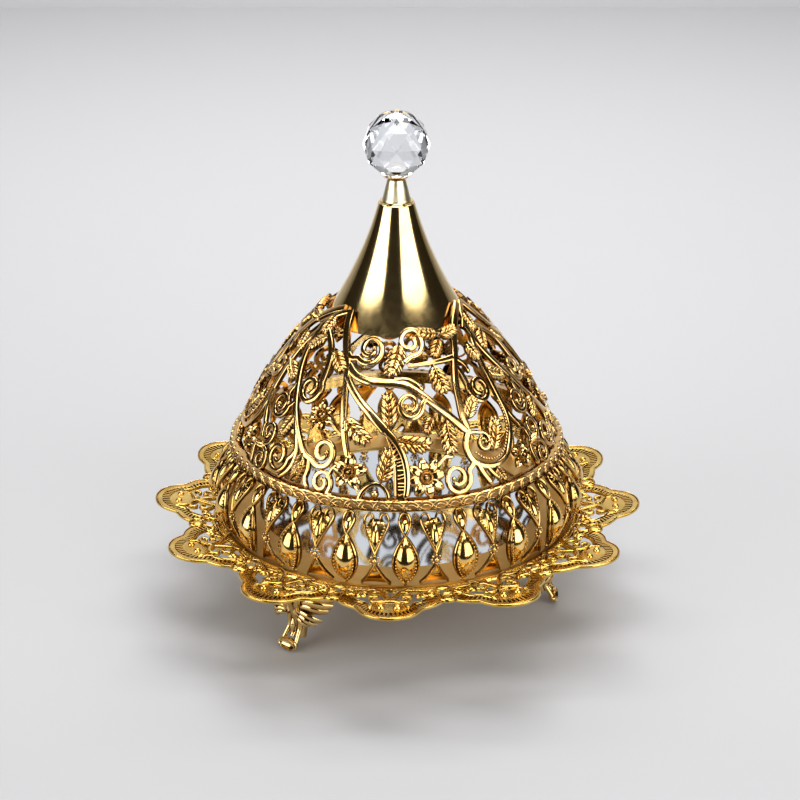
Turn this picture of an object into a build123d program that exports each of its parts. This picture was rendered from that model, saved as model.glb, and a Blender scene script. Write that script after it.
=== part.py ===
from build123d import *
import os
from math import asin, atan2, cos, degrees, hypot, pi, radians, sin, sqrt

# Turkish delight box: a footed dish with a pierced rim, a gallery round a mirror floor, and a
# lift-off lid, which is a pierced dome under a polished cap and a faceted ball.
# Millimetres, +Z up. The origin is on the table, under the middle. The front looks along -Y.
# An azimuth is in degrees from the front towards +X. The lid drops over the gallery and lifts
# straight up. The castings are cut from short cones, so that the pierced work stays light in faces.

# ---------------------------------------------------------------- driving dimensions
slide_gap = 0.5             # round what the lid drops over
seat_gap = 0.3              # under the lid when it is down
screw_play = 0.1            # round a screw in its hole

pan_height = 54.8           # the pan's underside over the table
pan_sheet = 1.2
pan_radius = 109.0
recess_radius = 86.0
mirror_thickness = 3.0
mirror_play = 0.5           # all round the mirror plate
tape_thickness = 0.8
tape_size = 30.0
tape_offset = 42.0
ledge_rise = 1.4            # of the ledge over the mirror's face

rim_thickness = 1.7
rim_flange_width = 10.0     # of the rim under the pan's edge
rim_tip_radius = 153.0
rim_tilt = 6.0              # degrees, up towards the tips
petal_count = 12
petal_turn = -1.7           # azimuth of the front petal
petal_lobe_radius = 19.6
petal_valley = 0.27         # share of a petal's length where it meets the next
petal_openings = (          # on the +X side, as shares of (half its width at the valley, its length)
    ((0.18, 0.7), (0.35, 0.68), (0.57, 0.34), (0.42, 0.32)),
    ((0.26, 0.23), (0.51, 0.25), (0.35, 0.07)),
    ((0.67, 0.41), (0.83, 0.3), (0.7, 0.15)),
)
petal_heel = ((0, 0.27), (0.16, 0.07))
petal_overlap = 2.0         # of a petal's root under the pan's edge

gallery_wall = 2.0
gallery_height = 47.1       # from the ledge to the top of its top rail
gallery_foot_inset = 1.2    # of its foot inside the pan's edge
gallery_rail_radius = 99.8
gallery_bulge = 9.0         # of its wall beyond a straight line between the rails
gallery_rail = 4.8
gallery_rail_width = 3.6
marquise_count = 20
marquise_turn = 2.7         # azimuth of the one at the front
marquise_width = 15.6
marquise_height = 32.0
marquise_thickness = 6.4
marquise_oval = ((0.0, 0.14), (0.2, 0.68), (0.5, 1.0), (0.8, 0.68), (1.0, 0.14))
loop_width = 8.4
heart_width = 16.4
heart_height = 19.5
heart_lobe_drop = 1.5       # of its lobes under the top rail
stand_width = 17.0
bead_width = 6.4            # of the bead between a heart and its stand
bead_neck = 3.2

lid_ring_width = 4.6
lid_ring_height = 2.6
rope_skirt = 3.2            # how far the rope border hangs below the lid ring
rope_width = 3.2
rope_twists = 54
rope_relief = 0.8

dome_foot_inset = 0.9       # of the dome's foot inside the rope border
dome_lap = 3.1              # of the dome's outer face over the cap, where the stems lie on it
dome_height = 89.2
dome_bulge = 5.6            # of the outline beyond its chord
dome_wall = 2.2
dome_castings = 3
stem_width = 3.4
scroll_width = 2.6
stem_step = 16.0            # length of a stem's short straight runs
scroll_step = 52.0          # turn from one run of a scroll to the next, in degrees
scroll_tightness = 0.66     # share of its radius that a scroll loses to its end
leaf_width = 6.4
leaf_shoulder = 0.5         # share of its length where a leaf is widest
pressing_depth = 1.8        # of the leaves and flowers
flower_radius = 7.0
flower_waist = 4.4
flower_petals = 5

cap_foot_radius = 42.5
cap_overlap = 12.1          # of the cap below the dome's neck
cap_head_radius = 10.9
cap_height = 68.5           # of its flare
cap_flare = 3.2             # how far the outline bows in from its chord
cap_wall = 1.0
cap_lip = 2.0
cap_sides = 40
cap_bands = 4

neck_height = 12.5
neck_foot_radius = 8.2
neck_head_radius = 5.0
collar_height = 2.4
collar_foot_radius = 5.6
collar_head_radius = 7.7
stud_radius = 2.5
stud_grip = 3.0             # of the stud in the ball
stud_play = 0.5             # past the stud's end in the ball
stud_tail = 9.0             # of the stud below the cap's top
nut_flats = 8.0
nut_height = 4.0
ball_radius = 19.8          # to the corners between its facets
ball_flat_radius = 7.0      # of the flat that it stands on
ball_table_radius = 3.0     # of the small flat on top
ball_sides = 8
ball_rows = (-60, -30, 0, 30, 60)   # latitudes of the corners between its flats, in degrees

foot_names = ("foot_left", "foot_right", "foot_back")
foot_turn = -40.0           # azimuth of the first foot
foot_stance = 11.0          # of its tread outside the recess
foot_depth = 40.0           # from the back of its head to its toe
foot_toe_width = 15.5
foot_stem_width = 10.0
foot_spread = 46.0
foot_volute = 6.5           # radius of the curl at each side of its head
foot_scoop = 6.0            # radius of the hollow over its toe
foot_side = (               # its side view, as shares of (its depth outwards from the tread, its height)
    (-0.775, 1.0), (-0.26, 1.0), (0, 0.96), (0.15, 0.85), (0.175, 0.71), (0, 0.49), (-0.1, 0.33), (-0.05, 0.18),
    (0.175, 0.11), (0.2, 0.04), (0.1, 0), (-0.1, 0), (-0.2, 0.11), (-0.275, 0.29), (-0.325, 0.49), (-0.475, 0.66),
    (-0.725, 0.8), (-0.8, 0.91),
)
foot_screw_inset = 10.0     # of a foot's screw inside the recess's edge
foot_screw_diameter = 4.0
foot_screw_length = 12.0
foot_screw_head = 0.7

# ---------------------------------------------------------------- worked-out places
pan_floor = pan_height + pan_sheet
mirror_foot = pan_floor + tape_thickness
mirror_face = mirror_foot + mirror_thickness
ledge_top = mirror_face + ledge_rise
ledge_under = ledge_top - pan_sheet
petal_length = rim_tip_radius - pan_radius
petal_valley_radius = pan_radius + petal_valley * petal_length
foot_azimuths = [foot_turn + 360 / len(foot_names) * index for index in range(len(foot_names))]
foot_tread_radius = recess_radius + foot_stance
foot_screw_radius = recess_radius - foot_screw_inset
gallery_top = ledge_top + gallery_height
gallery_rail_foot = gallery_top - gallery_rail
gallery_foot_radius = pan_radius - gallery_foot_inset
lid_foot = gallery_top + seat_gap
lid_ring_top = lid_foot + lid_ring_height
rope_bore = gallery_rail_radius + slide_gap
rope_foot = lid_foot - rope_skirt
dome_foot_radius = rope_bore - dome_foot_inset
dome_neck_height = lid_ring_top + dome_height
cap_foot_height = dome_neck_height - cap_overlap
cap_head_height = cap_foot_height + cap_height
cap_top = cap_head_height + cap_lip
neck_top = cap_top + neck_height
ball_seat = neck_top + collar_height
ball_height = ball_seat + sqrt(ball_radius ** 2 - ball_flat_radius ** 2)
ball_top = ball_height + sqrt(ball_radius ** 2 - ball_table_radius ** 2)


# ---------------------------------------------------------------- shared shapes
def turned(points):
    """Solid of revolution of a closed outline of (radius, height) pairs."""
    outline = Polyline(*[(radius, 0, height) for radius, height in points], close=True)
    return revolve(make_face(outline), Axis.Z)


def tube(outer, inner, bottom, top):
    return turned([(inner, bottom), (outer, bottom), (outer, top), (inner, top)])


def rod(radius, bottom, top):
    return Pos(0, 0, bottom) * Cylinder(radius, top - bottom, align=(Align.CENTER, Align.CENTER, Align.MIN))


def polygon(points):
    return make_face(Polyline(*points, close=True))


def mirrored(points):
    """A half outline, from top to foot on the +X side, closed by its mirror image."""
    return points + [(-across, up) for across, up in reversed(points) if across > 0]


def at_azimuth(azimuth, radius, height=0.0):
    angle = radians(azimuth)
    return Vector(radius * sin(angle), -radius * cos(angle), height)


def skinned(sections):
    """Solid with flat faces through cross-sections that have as many corners as each other."""
    faces = [polygon(sections[0]), polygon(sections[-1])]
    for lower, upper in zip(sections, sections[1:]):
        for index in range(len(lower)):
            after = (index + 1) % len(lower)
            faces.append(polygon([lower[index], lower[after], upper[after]]))
            faces.append(polygon([lower[index], upper[after], upper[index]]))
    return Solid(Shell([face.face() for face in faces]))


def upright(azimuth, radius=0.0):
    """Upright plane that faces outwards at an azimuth; its y is the height over the table."""
    across = Vector(cos(radians(azimuth)), sin(radians(azimuth)), 0)
    return Plane(at_azimuth(azimuth, radius), x_dir=across, z_dir=at_azimuth(azimuth, 1))


# ---------------------------------------------------------------- the dome
def cap_radius(share, inset=0.0):
    """Radius of the cap's flare at a share of its height; it bows in from a straight line."""
    straight = cap_foot_radius + (cap_head_radius - cap_foot_radius) * share
    return straight - 4 * cap_flare * share * (1 - share) - inset


def dome_neck_reach():
    """Radius of the dome's neck, where its stems lie on the cap."""
    return cap_radius(cap_overlap / cap_height) + dome_lap


def dome_arc():
    """Centre and radius of the dome's outline in the radius-height plane."""
    run = dome_foot_radius - dome_neck_reach()
    chord = hypot(run, dome_height)
    radius = (chord ** 2 / 4 + dome_bulge ** 2) / (2 * dome_bulge)
    back = radius - dome_bulge
    middle_radius = (dome_foot_radius + dome_neck_reach()) / 2
    middle_height = lid_ring_top + dome_height / 2
    return (middle_radius - back * dome_height / chord, middle_height - back * run / chord), radius


def on_dome(azimuth, rise):
    """Plane that touches the dome, its x axis level; the rise is a percentage of the height."""
    centre, radius = dome_arc()
    height = lid_ring_top + dome_height * rise / 100
    slope = asin((height - centre[1]) / radius)
    reach = centre[0] + radius * cos(slope)
    across = Vector(cos(radians(azimuth)), sin(radians(azimuth)), 0)
    outward = at_azimuth(azimuth, cos(slope), sin(slope))
    return Plane(at_azimuth(azimuth, reach, height), x_dir=across, z_dir=outward)


def stem(*places):
    """Points along a smooth course over the dome through (azimuth, rise) places."""
    course = Spline(*[on_dome(*place).origin for place in places])
    steps = max(2, round(course.length / stem_step))
    return [course @ (index / steps) for index in range(steps + 1)]


def scroll(azimuth, rise, radius, start, turn):
    """Points of a spiral that starts at an angle on its rim and winds inwards through a turn."""
    steps = round(abs(turn) / scroll_step)
    plane = on_dome(azimuth, rise)
    points = []
    for index in range(steps + 1):
        share = index / steps
        angle = radians(start + turn * share)
        reach = radius * (1 - scroll_tightness * share)
        points.append(plane.from_local_coords(Vector(reach * cos(angle), reach * sin(angle), 0)))
    return points


def bar(points, start_width=stem_width, end_width=scroll_width):
    """Ridged bar along points on the dome, flat on the inside."""
    sections = []
    last = len(points) - 1
    for index, point in enumerate(points):
        along = (points[min(index + 1, last)] - points[max(index - 1, 0)]).normalized()
        azimuth = degrees(atan2(point.X, -point.Y))
        outward = on_dome(azimuth, 100 * (point.Z - lid_ring_top) / dome_height).z_dir
        width = start_width + (end_width - start_width) * index / last
        aside = along.cross(outward).normalized() * (width / 2)
        under = point - outward * dome_wall
        sections.append([point, under + aside, under - aside])
    return skinned(sections)


def pressed(face, azimuth, rise):
    """A flat piece nearly as thick as the dome's wall, laid on the dome."""
    return extrude(on_dome(azimuth, rise) * Pos(0, 0, pressing_depth - dome_wall) * face, -pressing_depth)


def leaf(azimuth, rise, length, tilt):
    """Leaf that grows from a place on a stem; the tilt is in degrees from the level."""
    corners = mirrored([(0, length), (leaf_width / 2, length * leaf_shoulder), (0, 0)])
    return pressed(Rot(0, 0, tilt - 90) * polygon(corners), azimuth, rise)


def flower(azimuth, rise):
    """Blunt petals about a middle."""
    corners = []
    for index in range(flower_petals):
        for reach, share in ((flower_waist, 0), (flower_radius, 0.3), (flower_radius, 0.7)):
            angle = 2 * pi / flower_petals * (index + share)
            corners.append((reach * cos(angle), reach * sin(angle)))
    return pressed(polygon(corners), azimuth, rise)


def dome_pieces():
    """Stems, scrolls, leaves and flowers of one casting, from the lid ring up on to the cap."""
    return [
        bar(stem((-43.5, 100), (-37, 90), (-31, 81), (-27.5, 72), (-25, 58), (-22, 41), (-17.5, 19))),
        bar(stem((-27.8, 73), (-21, 68), (-10, 66), (3, 66), (12, 61), (21, 48), (30, 34))),
        bar(stem((-26.2, 66), (-16, 53), (-7, 42), (0, 32), (3, 18), (2.5, -3)), stem_width, stem_width),
        bar(stem((67.5, 100), (58, 96.5), (46, 89), (37, 79), (31.5, 66), (29, 52), (30, 35))),
        bar(stem((30, 36), (27.5, 26), (31, 17), (37, 14), (43, 19), (48, 31), (49.5, 46), (49.5, 62), (53, 80))),
        bar(stem((-44, 99), (-53, 95), (-60.5, 89)), scroll_width, stem_width),
        bar(stem((-60, 91), (-50, 86), (-41, 75)) + scroll(-44, 56, 8.4, 45, -400)),
        bar(stem((-60.3, 90), (-62, 79), (-57, 63), (-48, 45), (-38, 27)) + scroll(-29.5, 24, 8.2, -145, 410)),
        bar(stem((-33.5, 18), (-31, 10), (-30, -3)), scroll_width, scroll_width),
        bar(stem((-29.7, 79), (-26, 75.5)) + scroll(-17, 83, 7.4, -120, 380)),
        bar(stem((34.5, 75), (24, 74), (14, 74)) + scroll(8.5, 84, 7.6, -80, -380)),
        bar(stem((8, 64.5), (12, 61.5)) + scroll(6.2, 54.5, 7.6, 20, -380)),
        bar(stem((30.2, 60), (33, 65)) + scroll(41, 57, 7.6, 140, -380)),
        bar(stem((29, 21), (29, 18)) + scroll(21.5, 14, 7.2, 0, -380)),
        bar(stem((-48, 45), (-43, 35), (-41, 25)) + scroll(-46.5, 14, 8.4, 20, -400)),
        bar(stem((0.8, 28), (6, 24), (10.5, 14)), scroll_width, scroll_width),
        leaf(-7.5, 42.5, 19, 150),
        leaf(-4, 66, 18, -88),
        leaf(-1, 33.5, 18, 12),
        leaf(22, 46.5, 18, -93),
        leaf(49.5, 42, 20, 222),
        flower(-17, 15),
        flower(10.5, 12),
    ]


def dome_casting():
    """One casting, cut level where it stands on the lid ring."""
    first, *others = dome_pieces()
    above = Plane.XY.offset(lid_ring_top)
    return split(first.fuse(*others), above, keep=Keep.TOP)


# ---------------------------------------------------------------- the gallery
def gallery_reach(height):
    """Outer radius of the gallery at a height between its rails."""
    share = (height - ledge_top) / (gallery_rail_foot - ledge_top)
    lean = gallery_foot_radius + (gallery_rail_radius - gallery_foot_radius) * share
    return lean + 4 * gallery_bulge * share * (1 - share)


def upright_bar(outline):
    """Bar that follows the gallery upwards; its outline is (height, width, thickness) stations."""
    sections = []
    for height, width, thickness in outline:
        front = gallery_reach(height) + thickness - gallery_wall
        back = gallery_reach(height) - gallery_wall
        sections.append([(0, -front, height), (width / 2, -back, height), (-width / 2, -back, height)])
    return skinned(sections)


def marquise():
    """Domed marquise with a drop on its head that reaches the top rail."""
    foot = ledge_top
    head = foot + marquise_height
    neck = gallery_rail_foot - head
    stations = []
    for up, share in marquise_oval:
        station_thickness = gallery_wall + (marquise_thickness - gallery_wall) * share
        stations.append((foot + marquise_height * up, marquise_width * share, station_thickness))
    stations.append((head + neck / 2, loop_width, gallery_wall))
    stations.append((gallery_rail_foot, loop_width / 2, gallery_wall))
    return upright_bar(stations)


def heart():
    """Heart with its point down, a bead, and a stand that flares to the ledge."""
    point = gallery_rail_foot - heart_height
    bead = point - bead_width / 2
    stations = (
        (ledge_top, stand_width),
        (bead - bead_width / 2, bead_neck),
        (bead, bead_width),
        (point, bead_neck),
        (point + 0.62 * heart_height, heart_width),
        (gallery_rail_foot - heart_lobe_drop, heart_width * 0.9),
        (gallery_rail_foot, heart_width / 2),
    )
    return upright_bar([(height, width, gallery_wall) for height, width in stations])


def ringed(shape, count, first):
    """Copies of a piece at even azimuths, as one group."""
    return Compound(children=[Rot(0, 0, first + 360 / count * index) * shape for index in range(count)])


# ---------------------------------------------------------------- the tray
def pan():
    """Sheet-metal pan: a recess for the mirror and the flat ledge round it."""
    wall = recess_radius + pan_sheet
    profile = [(0, pan_height), (wall, pan_height), (wall, ledge_under), (pan_radius, ledge_under),
               (pan_radius, ledge_top), (recess_radius, ledge_top), (recess_radius, pan_floor), (0, pan_floor)]
    hole = rod(foot_screw_diameter / 2 + screw_play, pan_height, pan_floor)
    holes = [Pos(at_azimuth(azimuth, foot_screw_radius)) * hole for azimuth in foot_azimuths]
    return turned(profile).cut(*holes)


def petal():
    """One flat petal with its openings, its y along the radius from the pan's edge."""
    half = pi / petal_count
    valley = (petal_valley_radius * sin(half), petal_valley_radius * cos(half) - pan_radius)
    inner = pan_radius - petal_overlap
    root = (inner * sin(half), inner * cos(half) - pan_radius)
    joint = (petal_lobe_radius, petal_length - 0.86 * petal_lobe_radius)
    bulge = (0.55 * joint[0] + 0.5 * valley[0], 0.6 * joint[1] + 0.46 * valley[1])
    edges = [ThreePointArc(joint, (0, petal_length), (-joint[0], joint[1])), Line((-root[0], root[1]), root)]
    for side in (1, -1):
        ends = [(side * across, along) for across, along in (root, valley, bulge, joint)]
        edges.append(Line(ends[0], ends[1]))
        edges.append(ThreePointArc(*ends[1:]))
    outline = make_face(edges)
    for side in (1, -1):
        for opening in petal_openings:
            corners = [(side * valley[0] * across, petal_length * along) for across, along in opening]
            outline = outline - polygon(corners)
    heel = [(valley[0] * across, petal_length * along) for across, along in petal_heel]
    return outline - polygon(mirrored(heel))


def petal_root():
    """Flat root of one petal, under the pan's edge."""
    half = pi / petal_count
    corners = []
    for reach in (pan_radius + 0.5, pan_radius - rim_flange_width):
        corners.append((reach * sin(half), reach * cos(half) - pan_radius))
    return polygon(mirrored(corners))


def rim():
    """Pierced rim: a flat flange under the pan's edge and a ring of tilted petals."""
    plate = Rot(rim_tilt, 0, 0) * extrude(petal(), -rim_thickness)
    piece = plate + extrude(petal_root(), -rim_thickness)
    body = None
    for index in range(petal_count):
        azimuth = petal_turn + 360 / petal_count * index
        edge = at_azimuth(azimuth, pan_radius, ledge_under)
        place = Plane(edge, x_dir=at_azimuth(azimuth - 90, 1), z_dir=(0, 0, 1))
        body = place * piece if body is None else body + place * piece
    return body


def mirror_plate():
    return rod(recess_radius - mirror_play, mirror_foot, mirror_face)


def mirror_tapes():
    """Foam tapes that hold the mirror down."""
    tapes = []
    for azimuth in (45, 135, 225, 315):
        tape = Box(tape_size, tape_size / 2, tape_thickness)
        tapes.append(Pos(at_azimuth(azimuth, tape_offset, pan_floor + tape_thickness / 2)) * tape)
    return Compound(children=tapes)


# ---------------------------------------------------------------- the feet
def foot_front():
    """Front view of a foot: a toe, a stem and a head that spreads into two volutes."""
    half = foot_spread / 2
    stem_half = foot_stem_width / 2
    toe_half = foot_toe_width / 2
    outline = [
        (0, pan_height),
        (0.75 * half, pan_height),
        (0.8 * half, 0.74 * pan_height),
        (1.6 * stem_half, 0.63 * pan_height),
        (stem_half, 0.45 * pan_height),
        (stem_half, 0.26 * pan_height),
        (toe_half, 0.15 * pan_height),
        (toe_half, 0.05 * pan_height),
        (0.7 * toe_half, 0),
    ]
    face = polygon(mirrored(outline))
    for side in (1, -1):
        volute = RegularPolygon(foot_volute, 10)
        face = face + Pos(side * (half - foot_volute), pan_height - 1.3 * foot_volute) * volute
    return face


def foot():
    """Cast foot that faces the front, with a scooped toe."""
    side_view = polygon([(-foot_tread_radius - foot_depth * out, pan_height * up) for out, up in foot_side])
    body = extrude(Plane.YZ * side_view, foot_spread / 2, both=True)
    body = body & extrude(upright(0, foot_tread_radius) * foot_front(), foot_spread, both=True)
    scoop_place = Pos(0, -foot_tread_radius - 2 * foot_scoop, 0.13 * pan_height)
    scoop = scoop_place * Rot(0, 90, 0) * Cylinder(foot_scoop, 0.75 * foot_toe_width)
    bore = rod(foot_screw_diameter / 2 + screw_play, pan_floor - foot_screw_length, pan_height)
    return body - scoop - Pos(0, -foot_screw_radius, 0) * bore


# ---------------------------------------------------------------- the lid's ring and finial
def lid_ring():
    """Cast ring: a flat seat for the dome inside a twisted rope that hangs outside the top rail."""
    corners = []
    for index in range(2 * rope_twists):
        reach = rope_bore + rope_width - rope_relief * (index % 2)
        angle = pi / rope_twists * index
        corners.append((reach * cos(angle), reach * sin(angle)))
    rope = Pos(0, 0, rope_foot) * extrude(polygon(corners), lid_ring_top - rope_foot)
    seat_bore = rod(rope_bore - lid_ring_width, lid_foot, lid_ring_top)
    return rope - rod(rope_bore, rope_foot, lid_foot) - seat_bore


def sided(stations, sides):
    """Many-sided solid of revolution with flat faces, through (radius, height) stations."""
    sections = []
    for radius, height in stations:
        angles = [2 * pi / sides * index for index in range(sides)]
        sections.append([Vector(radius * cos(angle), radius * sin(angle), height) for angle in angles])
    return skinned(sections)


def cap():
    """Spun cap: a flare that bows in, a rounded shoulder and a flat top with the stud's hole."""
    shares = [index / cap_bands for index in range(cap_bands + 1)]
    outer = [(cap_radius(share), cap_foot_height + cap_height * share) for share in shares]
    outer.append((cap_head_radius - cap_wall, cap_top))
    inner = [(cap_radius(share, cap_wall), cap_foot_height + cap_height * share) for share in shares]
    inner[-1] = (inner[-1][0], cap_top - cap_wall)
    bore = rod(stud_radius + screw_play, cap_top - 2 * cap_wall, cap_top)
    return sided(outer, cap_sides) - sided(inner, cap_sides) - bore


def finial_neck():
    bore = rod(stud_radius + screw_play, cap_top, neck_top)
    return sided([(neck_foot_radius, cap_top), (neck_head_radius, neck_top)], cap_sides // 2) - bore


def ball_collar():
    bore = rod(stud_radius + screw_play, neck_top, ball_seat)
    return sided([(collar_foot_radius, neck_top), (collar_head_radius, ball_seat)], cap_sides // 2) - bore


def finial_stud():
    return rod(stud_radius, cap_top - stud_tail, ball_seat + stud_grip)


def stud_nut():
    top = cap_top - cap_wall
    nut = extrude(RegularPolygon(nut_flats / 2, 6, major_radius=False), nut_height)
    return Pos(0, 0, top - nut_height) * nut - rod(stud_radius + screw_play, top - nut_height, top)


def crystal_ball():
    """Cut ball: bands of triangular facets between a small table and the flat that it stands on."""
    rings = [(ball_flat_radius, ball_seat)]
    for latitude in ball_rows:
        rings.append((ball_radius * cos(radians(latitude)), ball_height + ball_radius * sin(radians(latitude))))
    rings.append((ball_table_radius, ball_top))
    sections = []
    for row, (radius, height) in enumerate(rings):
        turn = -180 / ball_sides * (row + 1)
        azimuths = [turn + 360 / ball_sides * index for index in range(ball_sides)]
        sections.append([at_azimuth(azimuth, radius, height) for azimuth in azimuths])
    return skinned(sections) - rod(stud_radius + screw_play, ball_seat, ball_seat + stud_grip + stud_play)


def foot_screws():
    """Three screws from the pan's floor down into the feet, their low heads under the mirror."""
    shank = rod(foot_screw_diameter / 2, pan_floor - foot_screw_length, pan_floor)
    head = Pos(0, 0, pan_floor) * extrude(RegularPolygon(foot_screw_diameter, 6), foot_screw_head)
    places = [Pos(at_azimuth(azimuth, foot_screw_radius)) for azimuth in foot_azimuths]
    return Compound(children=[place * (shank + head) for place in places])


def gallery_top_rail():
    return tube(gallery_rail_radius, gallery_rail_radius - gallery_rail_width, gallery_rail_foot, gallery_top)


# ---------------------------------------------------------------- all the pieces
def all_nodes():
    """Every piece by its node name."""
    nodes = {
        "tray_pan": pan(),
        "tray_rim": rim(),
        "mirror_plate": mirror_plate(),
        "mirror_tapes": mirror_tapes(),
        "gallery_marquises": ringed(marquise(), marquise_count, marquise_turn),
        "gallery_hearts": ringed(heart(), marquise_count, marquise_turn + 180 / marquise_count),
        "gallery_top_rail": gallery_top_rail(),
        "foot_screws": foot_screws(),
        "lid_ring": lid_ring(),
        "cap": cap(),
        "finial_neck": finial_neck(),
        "finial_stud": finial_stud(),
        "stud_nut": stud_nut(),
        "ball_collar": ball_collar(),
        "crystal_ball": crystal_ball(),
    }
    casting = foot()
    for name, azimuth in zip(foot_names, foot_azimuths):
        nodes[name] = Rot(0, 0, azimuth) * casting
    casting = dome_casting()
    for index in range(dome_castings):
        nodes[f"dome_casting_{index + 1}"] = Rot(0, 0, 360 / dome_castings * index) * casting
    return nodes


os.makedirs("parts", exist_ok=True)
for node, shape in all_nodes().items():
    shape.label = node
    export_step(shape, f"parts/{node}.step")
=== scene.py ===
from math import asin, atan2, ceil, cos, degrees, hypot, pi, radians, sin, sqrt

import bpy
from mathutils import Matrix, Vector


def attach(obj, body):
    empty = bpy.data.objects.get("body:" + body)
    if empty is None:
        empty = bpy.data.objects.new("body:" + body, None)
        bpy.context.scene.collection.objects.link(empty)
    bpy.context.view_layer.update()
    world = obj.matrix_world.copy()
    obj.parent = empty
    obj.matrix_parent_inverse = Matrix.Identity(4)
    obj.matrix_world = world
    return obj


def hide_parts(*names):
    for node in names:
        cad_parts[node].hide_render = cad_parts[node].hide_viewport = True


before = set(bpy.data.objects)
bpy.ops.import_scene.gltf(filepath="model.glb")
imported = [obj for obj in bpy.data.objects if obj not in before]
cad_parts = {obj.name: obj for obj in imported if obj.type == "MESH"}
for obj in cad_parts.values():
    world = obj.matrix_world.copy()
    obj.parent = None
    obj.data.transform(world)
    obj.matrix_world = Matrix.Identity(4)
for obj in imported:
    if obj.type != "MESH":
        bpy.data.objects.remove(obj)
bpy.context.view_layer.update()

# Turkish delight box. Lengths in this file are millimetres until a mesh is made, and +Z is up. An azimuth is
# in degrees from the front (-Y) towards +X. A course is a list of places on one of the box's surfaces: (azimuth,
# height) on the dome, and two lengths on the gallery, the rim's petals and the lid's ring. Each surface function
# turns such a place into a spot: a point and the direction outwards.
MM = 0.001

# ---------------------------------------------------------------- sizes shared with the solids
LEDGE = 61.2                # top of the tray's flat ledge
LEDGE_UNDER = 60.0
PAN_EDGE = 109.0
RIM_TILT = radians(6)
RIM_TIP = 153.0
PETALS = 12
PETAL_TURN = -1.7
RAIL_FOOT = 103.5           # underside of the gallery's top rail
RAIL = 99.8
GALLERY_FOOT = 107.8
GALLERY_BULGE = 9.0
GALLERY_COUNT = 20
GALLERY_TURN = 2.7
GALLERY_ROUND = 110.0       # radius that a width on the gallery is bent round
HEART_TURN = GALLERY_TURN + 9
MARQUISE_FOOT = LEDGE + 0.4
MARQUISE_TALL = 32.0
HEART_POINT = RAIL_FOOT - 19.5
ROSETTE = LEDGE + 18        # middle of the rosette under each heart
LID_SEAT = 111.2            # top of the lid's ring, where the dome stands
SCALLOPS = 76               # in the ring's chain border
RING_ROUND = 102.0          # radius that a width on the ring is bent round
RING_FACE = 103.0           # reach of the ring's face at RING_FACE_FOOT, from where it leans in
RING_FACE_FOOT = 106.0
RING_LEAN = 0.22
RIM_BEADS = 240
RIM_BEAD_REACH = 111.6
CASTINGS = 3
DOME_FOOT = 99.4
DOME_HEIGHT = 89.2
DOME_BULGE = 5.6
DOME_LAP = 3.1              # how far the castings lie out from the cap
CAP_FOOT_RADIUS = 42.5
CAP_HEAD_RADIUS = 10.9
CAP_FOOT = 188.3
CAP_HEIGHT = 68.5
CAP_OVERLAP = 12.1          # of the cap over the castings
CAP_FLARE = 3.2
CAP_TOP = 258.8
NECK_TOP = 271.3
BALL_SEAT = 273.7
FEET = {"foot_left": -40.0, "foot_right": 80.0, "foot_back": 200.0}
TREAD = 97.0

# ---------------------------------------------------------------- looks of the carving
TALLER = 1.16               # stretch of the dome's scrolls along its slope
WIDER = 1.2                 # of the dome's stems over their courses' widths
SINK = 0.9                  # how deep the dome's stems and leaves are set
LEAF_PUFF = 2.1
LEAF_LOBES = 6
LEAF_STEPS = 12
SCROLL_TIGHT = 0.72         # share of its radius that a scroll loses to its end
SCROLL_STEP = 14            # degrees
# dark brown of the painted shade mixed into the golds' hollows and turned-away flanks
PAINTED_SHADE_COLOUR = (0.10, 0.045, 0.012, 1)
FRONT = Vector((0, -1, 0))

# sections of a rod as (across, up), and that of the bars between the rim's arches
ROUND = [(-1, -1.0), (1, -1.0), (1, -0.15), (0.86, 0.42), (0.45, 0.86), (0, 1.0), (-0.45, 0.86), (-0.86, 0.42),
         (-1, -0.15)]
BROAD = [(-1, -1.0), (1, -1.0), (1, 0.0), (0.95, 0.5), (0.82, 0.86), (0.56, 1.0), (-0.56, 1.0), (-0.82, 0.86),
         (-0.95, 0.5), (-1, 0.0)]
BEVELLED = [(-1, -1), (1, -1), (0.7, 1), (-0.7, 1)]
BOX_FACES = [[0, 3, 2, 1], [4, 5, 6, 7], [0, 1, 5, 4], [1, 2, 6, 5], [2, 3, 7, 6], [3, 0, 4, 7]]


# ---------------------------------------------------------------- meshes
def put(parts):
    """One list of points and one of faces from several."""
    points, faces = [], []
    for more, polygons in parts:
        start = len(points)
        points += more
        faces += [[index + start for index in polygon] for polygon in polygons]
    return points, faces


def turned(part, azimuth):
    """A part turned about the upright axis."""
    turn = Matrix.Rotation(radians(azimuth), 3, "Z")
    return [turn @ point for point in part[0]], part[1]


def stood(name, data):
    """A new object in the scene."""
    thing = bpy.data.objects.new(name, data)
    bpy.context.collection.objects.link(thing)
    return thing


def raw(name, parts):
    """A plain mesh object from parts in millimetres."""
    points, faces = put(parts)
    mesh = bpy.data.meshes.new(name)
    mesh.from_pydata([Vector(point) * MM for point in points], [], faces)
    mesh.update()
    return stood(name, mesh)


def piece(name, kind, parts, replaced=(), sharp=40):
    """A finished piece; its kind is its body, its slot and its material."""
    thing = raw(name, parts)
    thing.data.validate()
    finish_piece(thing, kind, replaced, sharp)


def finish_piece(thing, kind, replaced, sharp):
    body, slot, finish = kind
    mesh = thing.data
    mesh.polygons.foreach_set("use_smooth", [True] * len(mesh.polygons))
    mesh.set_sharp_from_angle(angle=radians(sharp))
    mesh.materials.clear()
    mesh.materials.append(finish)
    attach(thing, body)
    if replaced:
        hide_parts(*replaced)


def at_azimuth(azimuth, radius, height=0.0):
    angle = radians(azimuth)
    return Vector((radius * sin(angle), -radius * cos(angle), height))


def normal_of(points, face):
    return (points[face[1]] - points[face[0]]).cross(points[face[2]] - points[face[0]])


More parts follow.
